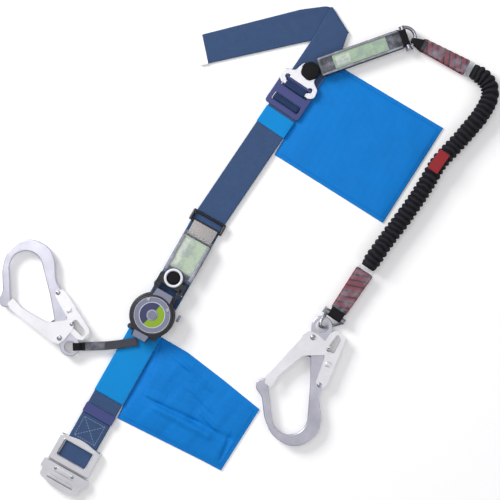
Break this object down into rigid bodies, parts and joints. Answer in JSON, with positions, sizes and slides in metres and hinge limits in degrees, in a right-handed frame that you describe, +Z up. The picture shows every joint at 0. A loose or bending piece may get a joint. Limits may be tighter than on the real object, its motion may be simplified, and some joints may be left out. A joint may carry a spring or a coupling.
{
  "type": "shock absorbing lanyard",
  "caption": "Waist belt with pouches, buckle and adjuster that carries a reel type and a bellows type shock absorbing lanyard, each ending in a large locking hook.",
  "frame": {"origin": "on the table, under the middle of the footprint of everything but the two cords", "axes": "+Z up from the table, +Y from the buckle end towards the folded end of the belt, +X to the right seen from above"},
  "size_m": [0.8092, 0.7949, 0.0348],
  "materials": {
    "navy_webbing": "ribbed woven webbing",
    "blue_cloth": "plain woven nylon cloth",
    "black_webbing": "black woven webbing",
    "red_webbing": "folded tear webbing",
    "grey_strap": "flat woven strap",
    "satin_metal": "satin plated",
    "hook_alloy": "forged and bead blasted",
    "gate_steel": "pressed and plated",
    "bright_steel": "bright plated",
    "black_steel": "black painted",
    "spring_steel": "blued strip",
    "navy_plastic": "moulded nylon",
    "lavender_plastic": "moulded grey plastic",
    "face_ring_plastic": "two colour moulded ring",
    "smoke_plastic": "smoked translucent plastic",
    "clear_sleeve": "clear film sleeve",
    "green_label": "plain printed label without text",
    "red_tag": "plain moulded tag"
  },
  "bodies": {
    "root": {"waist_belt": "navy_webbing", "belt_tip_cap": "satin_metal", "buckle_base": "satin_metal", "buckle_cover": "satin_metal", "buckle_hinge_pin": "bright_steel", "lower_pouch_sleeve": "blue_cloth", "lower_pouch_panel": "blue_cloth", "upper_pouch": "blue_cloth", "slide_adjuster_plate": "navy_plastic", "hanger_plate": "satin_metal", "hanger_loop": "black_webbing"},
    "buckle_lever": {"buckle_lever": "satin_metal", "buckle_rivets": "bright_steel"},
    "keeper": {"belt_keeper": "navy_plastic"},
    "ring": {"belt_ring": "black_steel"},
    "absorber_unit": {"ring_connector": "bright_steel", "absorber_cover": "clear_sleeve", "absorber_webbing": "black_webbing", "absorber_label": "green_label", "reel_yoke": "black_steel", "reel_tilt_pins": "bright_steel"},
    "reel": {"reel_case": "smoke_plastic", "reel_face_cover": "lavender_plastic", "reel_face_ring": "face_ring_plastic", "reel_nozzle_plate": "lavender_plastic", "reel_screws": "bright_steel", "reel_axle": "lavender_plastic", "power_spring": "spring_steel", "reel_strap": "grey_strap"},
    "spool": {"reel_spool": "lavender_plastic", "wound_strap": "grey_strap"},
    "lock_tab": {"reel_lock_tab": "lavender_plastic"},
    "strap_end": {"strap_sleeve": "clear_sleeve", "strap_end_loop": "black_webbing"},
    "left_hook": {"left_hook_body": "hook_alloy", "left_hook_pivot_rivets": "bright_steel"},
    "left_gate": {"left_hook_gate": "gate_steel", "left_hook_link_pin": "bright_steel"},
    "left_lock_lever": {"left_hook_lock_lever": "gate_steel"},
    "upper_absorber": {"upper_absorber_sleeve": "clear_sleeve", "upper_absorber_webbing": "black_webbing", "upper_absorber_label": "green_label", "upper_end_loop": "black_webbing", "upper_shackle_bow": "bright_steel", "upper_shackle_bolt": "bright_steel"},
    "bellows_lanyard": {"lower_link_loop": "black_webbing", "first_red_pack_sleeve": "clear_sleeve", "first_red_pack_webbing": "red_webbing", "bellows_cover": "black_webbing", "red_inspection_tag": "red_tag", "second_red_pack_sleeve": "clear_sleeve", "second_red_pack_webbing": "red_webbing", "hook_end_loop": "black_webbing", "hook_shackle_bow": "bright_steel", "hook_shackle_bolt": "bright_steel"},
    "right_hook": {"right_hook_body": "hook_alloy", "right_hook_pivot_rivets": "bright_steel"},
    "right_gate": {"right_hook_gate": "gate_steel", "right_hook_link_pin": "bright_steel"},
    "right_lock_lever": {"right_hook_lock_lever": "gate_steel"}
  },
  "joints": [
    {"name": "buckle_lever_lift", "type": "hinge", "parent": "root", "child": "buckle_lever", "pos_m": [-0.2779, -0.3585, 0.006], "axis": [-0.8704, 0.4924, 0], "range_deg": [0, 80]},
    {"name": "keeper_slide", "type": "slide", "parent": "root", "child": "keeper", "axis": [0.4924, 0.8704, 0], "range_m": [-0.035, 0]},
    {"name": "ring_slide", "type": "slide", "parent": "root", "child": "ring", "axis": [0.4924, 0.8704, 0], "range_m": [-0.025, 0]},
    {"name": "absorber_lift", "type": "hinge", "parent": "ring", "child": "absorber_unit", "pos_m": [-0.05124, 0.03949, 0.0097], "axis": [-0.8704, 0.4924, 0], "range_deg": [0, 90]},
    {"name": "reel_tilt", "type": "hinge", "parent": "absorber_unit", "child": "reel", "pos_m": [-0.111, -0.06228, 0.016], "axis": [-0.8704, 0.4924, 0], "range_deg": [0, 45]},
    {"name": "strap_pull", "type": "slide", "parent": "reel", "child": "strap_end", "axis": [-0.996, -0.0899, 0], "range_m": [0, 1.2], "stiffness_N_per_m": 6, "springref_m": -0.4, "deforming": ["reel_strap"]},
    {"name": "spool_turn", "type": "hinge", "parent": "reel", "child": "spool", "pos_m": [-0.13609, -0.10358, 0.018], "axis": [0, 0, 1], "range_deg": [-3200, 0]},
    {"name": "lock_tab_slide", "type": "slide", "parent": "reel", "child": "lock_tab", "axis": [0.4924, 0.8704, 0], "range_m": [0, 0.005], "stiffness_N_per_m": 100},
    {"name": "left_hook_swing", "type": "hinge", "parent": "strap_end", "child": "left_hook", "pos_m": [-0.27, -0.15555, 0.0112], "axis": [0, 0, 1], "range_deg": [0, 60]},
    {"name": "left_lever_squeeze", "type": "hinge", "parent": "left_hook", "child": "left_lock_lever", "pos_m": [-0.28899, -0.06828, 0.0112], "axis": [0, 0, -1], "range_deg": [0, 7], "stiffness_Nm_per_rad": 1.5, "springref_deg": -11.46},
    {"name": "left_gate_swing", "type": "hinge", "parent": "left_hook", "child": "left_gate", "pos_m": [-0.28668, -0.14128, 0.0112], "axis": [0, 0, -1], "range_deg": [0, 35]},
    {"name": "lanyard_swing", "type": "hinge", "parent": "root", "child": "upper_absorber", "pos_m": [0.1192, 0.29095, 0.013], "axis": [0, 0, 1], "range_deg": [0, 60]},
    {"name": "bellows_swing", "type": "hinge", "parent": "upper_absorber", "child": "bellows_lanyard", "pos_m": [0.27266, 0.34529, 0.013], "axis": [0, 0, 1], "range_deg": [0, 60]},
    {"name": "right_hook_swing", "type": "hinge", "parent": "bellows_lanyard", "child": "right_hook", "pos_m": [0.1383, -0.12245, 0.0112], "axis": [0, 0, 1], "range_deg": [-45, 0]},
    {"name": "right_lever_squeeze", "type": "hinge", "parent": "right_hook", "child": "right_lock_lever", "pos_m": [0.1337, -0.21735, 0.0112], "axis": [0, 0, 1], "range_deg": [0, 7], "stiffness_Nm_per_rad": 1.5, "springref_deg": -11.46},
    {"name": "right_gate_swing", "type": "hinge", "parent": "right_hook", "child": "right_gate", "pos_m": [0.1233, -0.14035, 0.0112], "axis": [0, 0, 1], "range_deg": [0, 35]}
  ],
  "couplings": [
    {"joint": "spool_turn", "follows": "strap_pull", "rad_per_m": -45},
    {"joint": "left_gate_swing", "follows": "left_lever_squeeze", "ratio": 5},
    {"joint": "right_gate_swing", "follows": "right_lever_squeeze", "ratio": 5}
  ]
}
